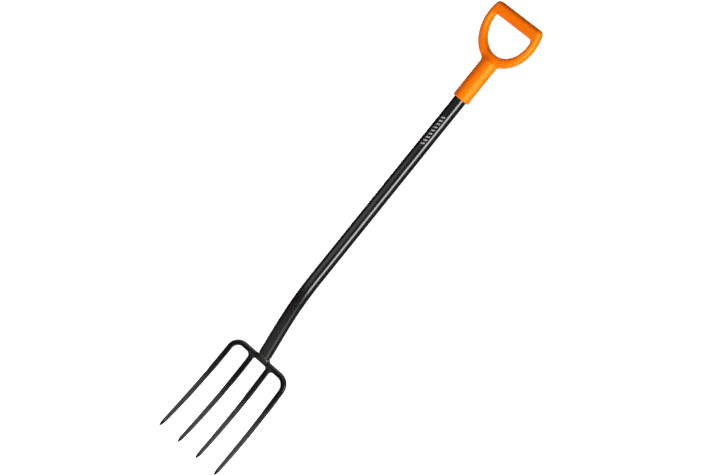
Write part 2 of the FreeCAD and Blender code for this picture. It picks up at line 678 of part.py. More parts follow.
def inner_weld(name, side):
    """Fillet weld round an inner tine's root under the crossbar, wider on the tine's outer side."""
    body = new_body(name)
    top = size("bar_height") / 2
    half_sum = (size("root_weld_outer_leg") + size("root_weld_inner_leg")) / 2
    half_difference = (size("root_weld_outer_leg") - size("root_weld_inner_leg")) / 2
    outlines = []
    for number, (down, left) in enumerate(WELD_STATIONS, start=1):
        outlines.append(root_outline(
            body, f"{name}_outline_{number}", side, top + down * size("root_weld_height"),
            f"sizes.bar_height / 2 + {down} * sizes.root_weld_height",
            (left * half_sum,
             f"{left} * (sizes.root_weld_outer_leg + sizes.root_weld_inner_leg) / 2"),
            (left * size("root_weld_depth_leg"), f"{left} * sizes.root_weld_depth_leg"),
            (left * half_difference,
             f"{left} * (sizes.root_weld_outer_leg - sizes.root_weld_inner_leg) / 2")))
    loft(body, f"{name}_flare", outlines)
    inside = root_outline(body, f"{name}_tine_outline", side, top, "sizes.bar_height / 2")
    cut(body, f"{name}_tine_space", inside, "2 * sizes.root_weld_height")
    place_at_crossbar(body, "head_lean")
    return body


def foot_sections(body):
    return [ellipse_sketch(body, f"{body.Name}_foot_base", "foot_base", "foot_base_half_width",
                           "foot_base_half_depth"),
            ellipse_sketch(body, f"{body.Name}_foot_top", "foot_top", "foot_top_half_width",
                           "foot_top_half_depth")]


def clear_crossbar(body):
    """Cut away all that lies lower than the crossbar's top, which leans less than the shaft."""
    turn = size("head_lean") - size("bend_angle")
    reach = size("tang_length")
    top = size("bar_height") / 2
    outline = new_sketch(body, f"{body.Name}_crossbar_outline", "YZ_Plane", turn=turn,
                         turn_axis=V(0, 0, 1))
    bind(outline, AttachmentOffset__Rotation__Angle="sizes.head_lean - sizes.bend_angle")
    corners = [V(-reach, -reach, 0), V(reach, -reach, 0), V(reach, top, 0), V(-reach, top, 0)]
    sides = [outline.addGeometry(Part.LineSegment(corners[k], corners[(k + 1) % 4]))
             for k in range(4)]
    for k, side in enumerate(sides):
        outline.addConstraint(Sketcher.Constraint("Coincident", side, 2, sides[(k + 1) % 4], 1))
        outline.addConstraint(Sketcher.Constraint("Vertical" if k % 2 else "Horizontal", side))
    dimension(outline, "left", "DistanceX", sides[3], 2, -1, 1, reach, formula="sizes.tang_length")
    dimension(outline, "right", "DistanceX", -1, 1, sides[1], 1, reach, formula="sizes.tang_length")
    dimension(outline, "bottom", "DistanceY", sides[0], 1, -1, 1, reach,
              formula="sizes.tang_length")
    dimension(outline, "top", "DistanceY", -1, 1, sides[2], 1, top, formula="sizes.bar_height / 2")
    cut(body, f"{body.Name}_seat", outline, "2 * sizes.tang_length", midplane=True)


def head_tang():
    """Steel stub that fills the tube's lower end and stands on the crossbar."""
    body = new_body("head_tang")
    loft(body, "tang_foot", foot_sections(body))
    base = new_sketch(body, "tang_outline", "XY_Plane", offset=V(0, 0, size("tube_end_gap")))
    bind(base, AttachmentOffset__Base__z="sizes.tube_end_gap")
    add_teardrop(base, "tang", -size("sleeve_thickness") - size("tube_wall") - size("tang_clearance"),
                 "-sizes.sleeve_thickness - sizes.tube_wall - sizes.tang_clearance")
    pad(body, "tang", base, "sizes.tang_length - sizes.tube_end_gap")
    clear_crossbar(body)
    place_at_crossbar(body, "bend_angle")
    return body


def shaft_weld():
    """Weld collar that closes the step from the tube's end to the narrower crossbar."""
    body = new_body("shaft_weld")
    back = size("collar_back_offset")
    collar = [
        ellipse_sketch(body, "collar_base", "foot_base", "collar_base_half_width",
                       "collar_base_half_depth"),
        ellipse_sketch(body, "collar_middle", "collar_middle", "collar_middle_half_width",
                       "collar_middle_half_depth", back, "sizes.collar_back_offset"),
        ellipse_sketch(body, "collar_top", "collar_top", "collar_top_half_width",
                       "collar_top_half_depth", back, "sizes.collar_back_offset"),
    ]
    loft(body, "collar", collar)
    document.recompute()
    space = body.newObject("PartDesign::SubtractiveLoft", "foot_space")
    sections = foot_sections(body)
    space.Profile = sections[0]
    space.Sections = sections[1:]
    tube = new_sketch(body, "tube_outline", "XY_Plane", offset=V(0, 0, size("tube_end_gap")))
    bind(tube, AttachmentOffset__Base__z="sizes.tube_end_gap")
    add_teardrop(tube, "tube", -size("sleeve_thickness"), "-sizes.sleeve_thickness")
    cut(body, "tube_space", tube, "sizes.tang_length", backwards=True)
    clear_crossbar(body)
    place_at_crossbar(body, "bend_angle")
    return body


parts = [d_handle(), handle_screw(), shaft_sleeve(), shaft_tube(), head_tang(), shaft_weld(),
         tine_bow()]
for side_name, side in (("left", -1), ("right", 1)):
    parts.append(inner_tine(f"inner_tine_{side_name}", side))
    parts.append(inner_weld(f"inner_weld_{side_name}", side))

document.recompute()
for item in document.Objects:
    if "Invalid" in item.State or "Error" in item.State:
        raise RuntimeError(f"{item.Name} failed: {item.State}")
os.makedirs("parts", exist_ok=True)
for part in parts:
    if part.Shape.isNull() or not part.Shape.isValid():
        raise RuntimeError(f"{part.Label} has no valid shape")
    part.Shape.exportStep(f"parts/{part.Label}.step")
    box = part.Shape.BoundBox
    print(f"{part.Label:18s} {len(part.Shape.Solids)} solid {part.Shape.Volume / 1000:8.2f} cm3"
          f"  x {box.XMin:8.2f} {box.XMax:8.2f}  y {box.YMin:8.2f} {box.YMax:8.2f}"
          f"  z {box.ZMin:8.2f} {box.ZMax:8.2f}")
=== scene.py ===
"""Looks of a digging fork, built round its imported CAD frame.

Frame: metres, +Z up along the upper shaft, -Y to the front of the tool (the hollow side of the
tines), +X to the tool's side. The origin is on the shaft's axis at the lower rim of the socket.
Sizes repeat the CAD part's, apart from the roundings of the D's edges and upper corners and the
form of the weld beads.
"""

import math

import bpy
import numpy as np
from mathutils import Matrix, Vector


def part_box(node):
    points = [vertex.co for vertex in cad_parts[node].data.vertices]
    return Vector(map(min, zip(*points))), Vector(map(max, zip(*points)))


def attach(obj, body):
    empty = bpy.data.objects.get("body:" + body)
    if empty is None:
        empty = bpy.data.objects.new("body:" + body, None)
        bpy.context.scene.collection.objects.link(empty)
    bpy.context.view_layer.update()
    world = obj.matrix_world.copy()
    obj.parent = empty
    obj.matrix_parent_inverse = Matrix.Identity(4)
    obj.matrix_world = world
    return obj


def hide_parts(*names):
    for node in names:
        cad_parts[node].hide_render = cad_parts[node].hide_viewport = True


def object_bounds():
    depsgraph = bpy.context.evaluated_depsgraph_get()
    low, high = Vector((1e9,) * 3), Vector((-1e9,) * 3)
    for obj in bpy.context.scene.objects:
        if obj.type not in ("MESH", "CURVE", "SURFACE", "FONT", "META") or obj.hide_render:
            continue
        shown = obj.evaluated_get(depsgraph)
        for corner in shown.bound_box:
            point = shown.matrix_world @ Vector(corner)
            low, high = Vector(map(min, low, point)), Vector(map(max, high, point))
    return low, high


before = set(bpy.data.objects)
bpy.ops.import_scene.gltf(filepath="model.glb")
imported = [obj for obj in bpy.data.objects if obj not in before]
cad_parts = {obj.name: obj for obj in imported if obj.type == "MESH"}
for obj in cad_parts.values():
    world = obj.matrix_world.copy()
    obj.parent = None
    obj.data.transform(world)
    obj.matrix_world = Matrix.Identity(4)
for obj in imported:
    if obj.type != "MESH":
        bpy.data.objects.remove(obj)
CAD_LOW, CAD_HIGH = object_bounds()

MM = 0.001
BODY = "root"
WHITE = (1, 1, 1)
TINY = 1e-9  # keeps a division from meeting zero

# Shaft: teardrop section, round at the front and narrower at the back.
SHAFT_FRONT_RADIUS = 14.9 * MM
SHAFT_BACK_RADIUS = 8.5 * MM
SHAFT_BACK_OFFSET = 9 * MM
SLEEVE_THICKNESS = 1.2 * MM
BEND_START = 490.3 * MM
BEND_RADIUS = 406 * MM
BEND_ANGLE = math.radians(18.4)
HEAD_REACH = 88.3 * MM
SLEEVE_END_GAP = 14 * MM
TUBE_END_GAP = 9.5 * MM

# Handle: socket, neck and the leaning D.
SOCKET_WALL = 4.65 * MM
SOCKET_CLEARANCE = 0.05 * MM
SOCKET_BORE_DEPTH = 76 * MM
SOCKET_HEIGHT = 97.5 * MM
SOCKET_RIM_RADIUS = 3 * MM
NECK_HEIGHT = 95 * MM
NECK_TOP = 115.5 * MM
NECK_TOP_HALF_WIDTH = 20 * MM
NECK_TOP_HALF_DEPTH = 10.5 * MM
NECK_BLEND = 8 * MM
GRIP_LEAN = math.radians(10.4)
GRIP_DEPTH = 24 * MM
GRIP_CENTRE_HEIGHT = 87 * MM
GRIP_OUTER_HALF_WIDTH = 68.5 * MM
GRIP_OUTER_HALF_HEIGHT = 84.8 * MM
GRIP_TOP = 125.8 * MM
HAND_HALF_WIDTH = 53.6 * MM
HAND_HALF_HEIGHT = 62.2 * MM
HAND_TOP = 98.3 * MM
GRIP_CORNER_RADIUS = 6 * MM
HAND_CORNER_RADIUS = 7 * MM
GRIP_OUTER_ROUNDING = 9 * MM
GRIP_INNER_ROUNDING = 7 * MM
SCREW_HEIGHT = 41 * MM
SCREW_HOLE_RADIUS = 2.1 * MM
SCREW_SEAT_RADIUS = 4.2 * MM
SCREW_HEAD_SINK = 1.4 * MM

# Head: crossbar and four tines. A tine's section is given as its width and depth.
HEAD_LEAN = math.radians(3.3)
BAR_HEIGHT = 12.8 * MM
BAR_DEPTH = 9.6 * MM
BAR_ROUNDING = 2 * MM
SHOULDER_RADIUS = 26 * MM
OUTER_TINE_HALF_SPACING = 80.5 * MM
INNER_TINE_HALF_SPACING = 25.4 * MM
OUTER_TINE_FAN = math.radians(1.53)
INNER_TINE_FAN = math.radians(0.75)
TINE_REACH = 251.9 * MM
TINE_SHANK_END = 234.9 * MM
TINE_CURVE_RADIUS = 956 * MM
TINE_ROOT = (10.9 * MM, 8.3 * MM)
TINE_END = (8.2 * MM, 6.4 * MM)
TINE_TIP = (2.2 * MM, 1.8 * MM)
TINE_TAPER_POWER = 3.4
TIP_TAPER_POWER = 2
TIP_CLEARANCE = 0.05 * MM

# Forging wear along the bars: each wave's length, phase and weight, the share of a bar's size that
# wears off, and the seeds that set the bars apart, and a bar's depth apart from its width.
WEAR_WAVES = ((31 * MM, 1.0, 1.0), (13 * MM, 2.3, 0.6), (6 * MM, 4.1, 0.3))
WEAR_SHARE = 0.02
WEAR_DEPTH_SHIFT = 1.7
WEAR_SEEDS = {"bow_left": 2.6, "bow_right": 1.0, "tine_left": 4.4, "tine_right": 5.9}
BAR_FIT = 0.997  # holds the sides of the bars inside the CAD's box

# Weld beads: how far inside the bars their skin lies where there is no fillet, and the depth of
# fillet at which crown and ripples have their full height.
WELD_INSET = 0.12 * MM
BEAD_FULL_DEPTH = 1 * MM

# Middle of the crossbar, where the axis of the bent shaft ends.
HEAD_CENTRE = Vector((
    0,
    BEND_RADIUS * (1 - math.cos(BEND_ANGLE)) + HEAD_REACH * math.sin(BEND_ANGLE),
    -BEND_START - BEND_RADIUS * math.sin(BEND_ANGLE) - HEAD_REACH * math.cos(BEND_ANGLE),
))


# ---------------------------------------------------------------- mesh tools

def make_piece(name, vertices, faces, material, replaced=()):
    """Smooth mesh object that rides on the tool and takes the place of the named CAD nodes."""
    if isinstance(faces, np.ndarray):
        faces = faces.tolist()
    mesh = bpy.data.meshes.new(name)
    mesh.from_pydata(np.asarray(vertices).tolist(), [], faces)
    mesh.validate()
    mesh.shade_smooth()
    mesh.materials.append(material)
    piece = bpy.data.objects.new(name, mesh)
    bpy.context.scene.collection.objects.link(piece)
    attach(piece, BODY)
    if replaced:
        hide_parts(*replaced)
    return piece


def tube_faces(ring_count, ring_size):
    """Quads between neighbouring rings of points, outward for rings that run anticlockwise."""
    faces = []
    for ring in range(ring_count - 1):
        low = ring * ring_size
        high = low + ring_size
        for k in range(ring_size):
            following = (k + 1) % ring_size
            faces.append((low + k, low + following, high + following, high + k))
    return faces


def capped_sweep(rings):
    """Vertices and faces of a closed skin over rings of points, each end closed by a fan."""
    rings = [np.asarray(ring) for ring in rings]
    size = len(rings[0])
    vertices = np.concatenate(rings + [rings[0].mean(0)[None], rings[-1].mean(0)[None]])
    faces = tube_faces(len(rings), size)
    first_hub = len(rings) * size
    last = (len(rings) - 1) * size
    for k in range(size):
        following = (k + 1) % size
        faces.append((first_hub, following, k))
        faces.append((first_hub + 1, last + k, last + following))
    return vertices, faces


def gradient(distance, points, step):
    """Slope of a distance function by central differences."""
    slope = np.empty_like(points)
    for axis in range(3):
        shift = np.zeros(3)
        shift[axis] = step
        rise = distance(*(points + shift).T) - distance(*(points - shift).T)
        slope[:, axis] = rise / (2 * step)
    return slope


def crossed_edges(values, axis):
    """Lattice edges along an axis where the value changes sign, and how far along each it does."""
    near = [slice(None)] * 3
    far = [slice(None)] * 3
    near[axis] = slice(0, -1)
    far[axis] = slice(1, None)
    before = values[tuple(near)]
    after = values[tuple(far)]
    crossed = (before < 0) != (after < 0)
    before = before[crossed]
    return np.argwhere(crossed), before / (before - after[crossed])


def cells_beside(edges, first, second, back_first, back_second):
    """Cells that touch the given edges, stepped back along the edges' two other axes."""
    cells = edges.copy()
    cells[:, first] -= back_first
    cells[:, second] -= back_second
    return cells


def surface_net(distance, low, high, step):
    """Quad mesh of the surface where distance(x, y, z) is zero, one vertex in each crossed cell."""
    axes = [np.arange(a, b + step, step) for a, b in zip(low, high)]
    values = distance(*np.meshgrid(*axes, indexing="ij"))
    cell_counts = np.array(values.shape) - 1
    total = np.zeros((*cell_counts, 3))
    count = np.zeros(cell_counts)
    edges_along = []
    for axis in range(3):
        edges, share = crossed_edges(values, axis)
        edges_along.append(edges)
        places = np.stack([axes[k][edges[:, k]] for k in range(3)], 1)
        places[:, axis] += share * step
        first, second = [k for k in range(3) if k != axis]
        for back in ((0, 0), (0, 1), (1, 0), (1, 1)):
            cells = cells_beside(edges, first, second, *back)
            kept = np.all((cells >= 0) & (cells < cell_counts), axis=1)
            index = tuple(cells[kept].T)
            np.add.at(total, index, places[kept])
            np.add.at(count, index, 1)
    used = count > 0
    numbers = np.full(count.shape, -1)
    numbers[used] = np.arange(used.sum())
    points = total[used] / count[used][:, None]
    faces = []
    for axis, edges in enumerate(edges_along):
        first, second = (axis + 1) % 3, (axis + 2) % 3
        kept = np.all(edges[:, [first, second]] > 0, axis=1)
        kept &= (edges[:, first] < cell_counts[first]) & (edges[:, second] < cell_counts[second])
        edges = edges[kept]
        corners = []
        for back in ((1, 1), (0, 1), (0, 0), (1, 0)):
            cells = cells_beside(edges, first, second, *back)
            corners.append(numbers[tuple(cells.T)])
        quads = np.stack(corners, 1)
        leaving = values[tuple(edges.T)] < 0
        faces.append(np.where(leaving[:, None], quads, quads[:, ::-1]))
    return points, np.concatenate(faces)


def solid_from_distance(name, distance, low, high, step, material, replaced, pulls=4):
    """Piece whose skin is the zero surface of a distance function, with normals from its slope."""
    fine_step = 0.02 * MM
    least_squared_slope = 0.05
    points, faces = surface_net(distance, low, high, step)
    for _ in range(pulls):
        slope = gradient(distance, points, fine_step)
        length_squared = np.maximum((slope ** 2).sum(1), least_squared_slope)
        move = -distance(*points.T) / length_squared
        points = points + np.clip(move, -step, step)[:, None] * slope
    slope = gradient(distance, points, step / 4)
    normals = slope / np.maximum(np.linalg.norm(slope, axis=1), TINY)[:, None]
    piece = make_piece(name, points, faces, material, replaced)
    piece.data.normals_split_custom_set_from_vertices(normals.tolist())


# ---------------------------------------------------------------- distances

def smooth_union(a, b, blend):
    """Smaller of two distances, with a fillet where they meet."""
    share = np.clip(0.5 + 0.5 * (b - a) / blend, 0, 1)
    return b * (1 - share) + a * share - blend * share * (1 - share)


def round_intersection(a, b, radius):
    """Overlap of two distances, with a round edge."""
    corner = np.hypot(np.maximum(a + radius, 0), np.maximum(b + radius, 0))
    return np.minimum(np.maximum(a, b), -radius) + corner


def teardrop_distance(x, y, growth):
    """Level distance to the shaft's outline grown by growth: the hull of two circles."""
    front = SHAFT_FRONT_RADIUS + growth
    back = SHAFT_BACK_RADIUS + growth
    slant = (front - back) / SHAFT_BACK_OFFSET
    flank = math.sqrt(1 - slant * slant)
    side = np.abs(x)
    along = flank * y - slant * side
    to_front = np.hypot(side, y) - front
    to_back = np.hypot(side, y - SHAFT_BACK_OFFSET) - back
    to_flank = side * flank + y * slant - front
    behind_front = np.where(along > flank * SHAFT_BACK_OFFSET, to_back, to_flank)
    return np.where(along < 0, to_front, behind_front)


def ellipse_distance(x, y, half_x, half_y):
    """Nearly the distance to an ellipse about the origin, exact close to its line."""
    scaled = np.maximum(np.hypot(x / half_x, y / half_y), TINY)
    steepness = np.maximum(np.hypot(x / half_x ** 2, y / half_y ** 2), TINY)
    return (scaled - 1) * scaled / steepness


def rounded_box_distance(x, y, half_x, half_y, rounding):
    """Distance to a rounded rectangle about the origin."""
    over_x = np.abs(x) - half_x + rounding
    over_y = np.abs(y) - half_y + rounding
    outside = np.hypot(np.maximum(over_x, 0), np.maximum(over_y, 0))
    return outside + np.minimum(np.maximum(over_x, over_y), 0) - rounding


def in_grip(y, z):
    """Height above the neck and place behind the D's middle plane, for a point of the tool."""
    up = z - NECK_HEIGHT
    return (up * math.cos(GRIP_LEAN) - y * math.sin(GRIP_LEAN),
            up * math.sin(GRIP_LEAN) + y * math.cos(GRIP_LEAN))


def d_outline_distance(x, height, half_width, half_height, top, corner):
    """Distance to an upright ellipse cut off at the top, with round corners there."""
    oval = ellipse_distance(x, height - GRIP_CENTRE_HEIGHT, half_width, half_height)
    return round_intersection(oval, height - top, corner)


def grip_distance(x, y, z):
    """The leaning D: one outline less the hand opening's, cut to depth, with rounded edges."""
    height, behind = in_grip(y, z)
    faces = np.abs(behind) - GRIP_DEPTH / 2
    outside = d_outline_distance(x, height, GRIP_OUTER_HALF_WIDTH, GRIP_OUTER_HALF_HEIGHT,
                                 GRIP_TOP, GRIP_CORNER_RADIUS)
    opening = d_outline_distance(x, height, HAND_HALF_WIDTH, HAND_HALF_HEIGHT, HAND_TOP,
                                 HAND_CORNER_RADIUS)
    return np.maximum(round_intersection(outside, faces, GRIP_OUTER_ROUNDING),
                      round_intersection(-opening, faces, GRIP_INNER_ROUNDING))


def socket_distance(x, y, z):
    """Socket and neck: the shaft's outline grown by the wall, flowing into an oval under the D."""
    rise = np.clip((z - SOCKET_HEIGHT) / (NECK_TOP - SOCKET_HEIGHT), 0, 1)
    rise = rise * rise * (3 - 2 * rise)
    forward = np.maximum(z - NECK_HEIGHT, 0) * math.tan(GRIP_LEAN)
    drop = teardrop_distance(x, y, SOCKET_WALL)
    oval = ellipse_distance(x, y + forward, NECK_TOP_HALF_WIDTH, NECK_TOP_HALF_DEPTH)
    wall = drop * (1 - rise) + oval * rise
    return round_intersection(np.maximum(wall, z - NECK_TOP), -z, SOCKET_RIM_RADIUS)


def handle_distance(x, y, z):
    """The whole moulding, less the shaft's bore, the screw's hole and the seat of its head."""
    body = smooth_union(grip_distance(x, y, z), socket_distance(x, y, z), NECK_BLEND)
    bore = np.maximum(teardrop_distance(x, y, SOCKET_CLEARANCE), z - SOCKET_BORE_DEPTH)
    seat = SHAFT_BACK_OFFSET + SHAFT_BACK_RADIUS + SOCKET_WALL - SCREW_HEAD_SINK
    from_screw = np.hypot(x, z - SCREW_HEIGHT)
    recess = np.maximum(from_screw - SCREW_SEAT_RADIUS, seat - y)
    hole = np.maximum(from_screw - SCREW_HOLE_RADIUS, SHAFT_BACK_OFFSET - y)
    return np.maximum(body, -np.minimum(np.minimum(bore, recess), hole))


def in_head(y, z):
    """Back and up from the crossbar's centre, in the head's own leaning frame."""
    back = y - HEAD_CENTRE.y
    up = z - HEAD_CENTRE.z
    return (back * math.cos(HEAD_LEAN) + up * math.sin(HEAD_LEAN),
            up * math.cos(HEAD_LEAN) - back * math.sin(HEAD_LEAN))


def in_lower_shaft(y, z):
    """Back and up from the crossbar's centre, along the bent shaft's lower axis."""
    back = y - HEAD_CENTRE.y
    up = z - HEAD_CENTRE.z
    return (back * math.cos(BEND_ANGLE) + up * math.sin(BEND_ANGLE),
            up * math.cos(BEND_ANGLE) - back * math.sin(BEND_ANGLE))


# ---------------------------------------------------------------- materials

class Shader:
    """Node tree of one material, with short calls for the nodes used here."""

    def __init__(self, name):
        self.material = bpy.data.materials.new(name)
        self.material.use_nodes = True
        self.tree = self.material.node_tree
        self.surface = self.tree.nodes["Principled BSDF"]
        self.place = self.tree.nodes.new("ShaderNodeTexCoord").outputs["Object"]

    def node(self, kind, **settings):
        """New node of a kind, with its settings."""
        made = self.tree.nodes.new(kind)
        for key, value in settings.items():
            setattr(made, key, value)
        return made

    def link(self, source, target):
        """Connect an output to an input."""
        self.tree.links.new(source, target)

    def feed(self, socket, value):
        """Put a number or another node's output into an input socket."""
        if isinstance(value, bpy.types.NodeSocket):
            self.link(value, socket)
        else:
            socket.default_value = value

    def stretch(self, scale):
        """Object coordinates scaled along X, Y and Z."""
        mapping = self.node("ShaderNodeMapping")
        mapping.inputs["Scale"].default_value = scale
        self.link(self.place, mapping.inputs["Vector"])
        return mapping.outputs["Vector"]

    def noise(self, scale, detail=3.0, roughness=0.5, place=None):
        """Noise from 0 to 1, with about scale blobs to the metre."""
        made = self.node("ShaderNodeTexNoise")
        made.inputs["Scale"].default_value = scale
        made.inputs["Detail"].default_value = detail
        made.inputs["Roughness"].default_value = roughness
        self.link(place or self.place, made.inputs["Vector"])
        return made.outputs["Fac"]

    def math(self, operation, first, second=0.0):
        """Result of an operation on one or two values."""
        made = self.node("ShaderNodeMath", operation=operation)
        self.feed(made.inputs[0], first)
        self.feed(made.inputs[1], second)
        return made.outputs["Value"]

    def ramp(self, value, low, high, start=0.0, end=1.0):
        """Value carried from the range low..high to start..end, held at both ends."""
        made = self.node("ShaderNodeMapRange")
        made.clamp = True
        made.inputs["From Min"].default_value = low
        made.inputs["From Max"].default_value = high
        made.inputs["To Min"].default_value = start
        made.inputs["To Max"].default_value = end
        self.link(value, made.inputs["Value"])
        return made.outputs["Result"]

    def mix(self, share, first, second):
        """Colour between two colours, each a triple of numbers or another node's output."""
        first_input, second_input, colour_output = 6, 7, 2  # the RGBA sockets of a Mix node
        made = self.node("ShaderNodeMix", data_type="RGBA")
        self.feed(made.inputs["Factor"], share)
        for number, colour in ((first_input, first), (second_input, second)):
            if not isinstance(colour, bpy.types.NodeSocket):
                colour = (*colour, 1)
            self.feed(made.inputs[number], colour)
        return made.outputs[colour_output]

    def bump(self, height, distance, strength=1.0, below=None):
        """Normal tilted by a height, on top of the normal below it where one is given."""
        made = self.node("ShaderNodeBump")
        made.inputs["Strength"].default_value = strength
        made.inputs["Distance"].default_value = distance
        self.link(height, made.inputs["Height"])
        if below:
            self.link(below, made.inputs["Normal"])
        return made.outputs["Normal"]

    def pointiness(self, low, high):
        """Zero on flat and hollow places, one on sharp edges."""
        return self.ramp(self.node("ShaderNodeNewGeometry").outputs["Pointiness"], low, high)

    def finish(self, colour, roughness, normal, **constants):
        """Connect the surface, set its constant inputs and give back the material."""
        self.link(colour, self.surface.inputs["Base Color"])
        self.link(roughness, self.surface.inputs["Roughness"])
        self.link(normal, self.surface.inputs["Normal"])
        for name, value in constants.items():
            self.surface.inputs[name.replace("_", " ")].default_value = value
        return self.material


def handle_material():
    """Moulded nylon: a fine eroded grain, faint flow marks and the mould's parting line."""
    deep, bright = (0.9, 0.185, 0.0012), (0.95, 0.215, 0.002)
    grain_shade, worn_shade = (0.84, 0.16, 0.001), (1.0, 0.36, 0.04)
    amber_sheen = (1, 0.62, 0.11, 1)
    seam_crest, seam_foot, seam_height = 0.05 * MM, 0.35 * MM, 0.12 * MM
    shader = Shader("orange_nylon")
    flow = shader.noise(14, 4, 0.6, shader.stretch((1, 1, 0.35)))
    grain = shader.noise(2600, 2)
    scuffs = shader.noise(120, 6, 0.7)
    colour = shader.mix(shader.ramp(flow, 0.35, 0.68), deep, bright)
    colour = shader.mix(shader.ramp(grain, 0.3, 0.8, 0, 0.22), colour, grain_shade)
    edges = shader.pointiness(0.52, 0.6)
    worn = shader.math("MULTIPLY", edges, shader.ramp(scuffs, 0.45, 0.75, 0, 0.35))
    colour = shader.mix(worn, colour, worn_shade)
    roughness = shader.math("ADD", shader.ramp(flow, 0.3, 0.7, 0.42, 0.5),
                            shader.ramp(scuffs, 0.5, 0.8, 0, 0.14))
    split = shader.node("ShaderNodeSeparateXYZ")
    shader.link(shader.place, split.inputs["Vector"])
    over_neck = shader.math("SUBTRACT", split.outputs["Z"], NECK_HEIGHT)
    above_neck = shader.math("MAXIMUM", over_neck, 0.0)
    behind = shader.math("ADD", shader.math("MULTIPLY", split.outputs["Y"], math.cos(GRIP_LEAN)),
                         shader.math("MULTIPLY", above_neck, math.sin(GRIP_LEAN)))
    seam = shader.ramp(shader.math("ABSOLUTE", behind), seam_crest, seam_foot, 1, 0)
    normal = shader.bump(grain, 0.03 * MM, 0.05)
    normal = shader.bump(flow, 0.25 * MM, 0.15, normal)
    normal = shader.bump(seam, seam_height, 0.6, normal)
    return shader.finish(colour, roughness, normal, IOR=1.5, Specular_Tint=amber_sheen)


def sleeve_material():
    """Glossy black skin: long drawing marks, orange peel and hairline scratches."""
    black, smudged = (0.0062, 0.0062, 0.0068), (0.0095, 0.0095, 0.0105)
    scratch_shade = (0.04, 0.04, 0.043)
    shader = Shader("gloss_black_sleeve")
    drawn = shader.noise(60, 5, 0.6, shader.stretch((1, 1, 0.02)))
    peel = shader.noise(420, 2)
    hairline = shader.noise(900, 3, 0.6, shader.stretch((1, 1, 0.01)))
    smudge = shader.noise(22, 4, 0.6)
    colour = shader.mix(shader.ramp(smudge, 0.3, 0.7), black, smudged)
    scratched = shader.ramp(hairline, 0.62, 0.72)
    colour = shader.mix(shader.math("MULTIPLY", scratched, 0.25), colour, scratch_shade)
    roughness = shader.math("ADD", shader.ramp(smudge, 0.3, 0.7, 0.17, 0.23),
                            shader.ramp(drawn, 0.45, 0.7, 0, 0.06))
    normal = shader.bump(peel, 0.02 * MM, 0.12)
    normal = shader.bump(drawn, 0.03 * MM, 0.4, normal)
    return shader.finish(colour, roughness, normal, IOR=1.5)


def painted_steel(name, low, high, roughness_range, coarse_bump, wear=1.0):
    """Satin black paint over forged steel: hammered ground, fine texture, grey at rubbed edges."""
    speck_shade = [2.5 * part for part in high]
    steel_shade = (0.16, 0.16, 0.165)
    shader = Shader(name)
    hammered = shader.noise(85, 4, 0.55)
    texture = shader.noise(1500, 3)
    patches = shader.noise(30, 5, 0.65)
    rubbed = shader.noise(260, 6, 0.75)
    colour = shader.mix(shader.ramp(patches, 0.3, 0.7), low, high)
    colour = shader.mix(shader.ramp(texture, 0.55, 0.8, 0, 0.35), colour, speck_shade)
    edges = shader.pointiness(0.53, 0.62)
    bare = shader.math("MULTIPLY", edges, shader.ramp(rubbed, 0.5, 0.62, 0, wear))
    colour = shader.mix(bare, colour, steel_shade)
    roughness = shader.math("ADD", shader.ramp(patches, 0.3, 0.7, *roughness_range),
                            shader.ramp(texture, 0.4, 0.8, -0.03, 0.06))
    normal = shader.bump(texture, 0.03 * MM, 0.22)
    normal = shader.bump(hammered, coarse_bump, 0.5, normal)
    return shader.finish(colour, roughness, normal, IOR=1.5)


def zinc_material():
    """Zinc plate: cloudy, with the turning marks of the screw's head."""
    bluish, yellowish = (0.5, 0.5, 0.51), (0.66, 0.65, 0.62)
    shader = Shader("zinc_plate")
    clouds = shader.noise(700, 5, 0.6)
    turned = shader.noise(3000, 2, 0.5, shader.stretch((1, 0.1, 1)))
    colour = shader.mix(shader.ramp(clouds, 0.35, 0.65), bluish, yellowish)
    roughness = shader.ramp(clouds, 0.3, 0.7, 0.28, 0.42)
    normal = shader.bump(turned, 0.02 * MM, 0.5)
    return shader.finish(colour, roughness, normal, Metallic=1.0)


def print_material():
    """Pale screen print, thin in places."""
    full, faded = (0.33, 0.37, 0.47), (0.16, 0.18, 0.23)
    shader = Shader("pale_print")
    thin = shader.noise(1600, 4, 0.7)
    colour = shader.mix(shader.ramp(thin, 0.5, 0.8, 0, 0.5), full, faded)
    roughness = shader.ramp(thin, 0.3, 0.7, 0.32, 0.5)
    return shader.finish(colour, roughness, shader.bump(thin, 0.01 * MM, 0.5))


# ---------------------------------------------------------------- handle

def build_handle(material):
    """The orange moulding, sampled on a grid a little larger than the CAD node's box."""
    low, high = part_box("d_handle")
    margin = Vector((3 * MM,) * 3)
    grid_step = 1 * MM
    solid_from_distance("handle_moulding", handle_distance, low - margin, high + margin, grid_step,
                        material, ["d_handle"])


# ---------------------------------------------------------------- shaft

def teardrop_outline(growth, front_points=56, flank_parts=7):
    """Shaft outline grown by growth, anticlockwise from where the left flank meets the front."""
    front = SHAFT_FRONT_RADIUS + growth
    back = SHAFT_BACK_RADIUS + growth
    tilt = math.asin((front - back) / SHAFT_BACK_OFFSET)
    front_turn = np.linspace(math.pi - tilt, 2 * math.pi + tilt, front_points)
    back_turn = np.linspace(tilt, math.pi - tilt, front_points // 3)
    front_arc = np.stack([front * np.cos(front_turn), front * np.sin(front_turn)], 1)
    back_arc = np.stack([back * np.cos(back_turn), SHAFT_BACK_OFFSET + back * np.sin(back_turn)], 1)
    shares = np.linspace(0, 1, flank_parts + 1)[1:-1, None]
    right = front_arc[-1] * (1 - shares) + back_arc[0] * shares
    left = back_arc[-1] * (1 - shares) + front_arc[0] * shares
    return np.concatenate([front_arc, right, back_arc, left])


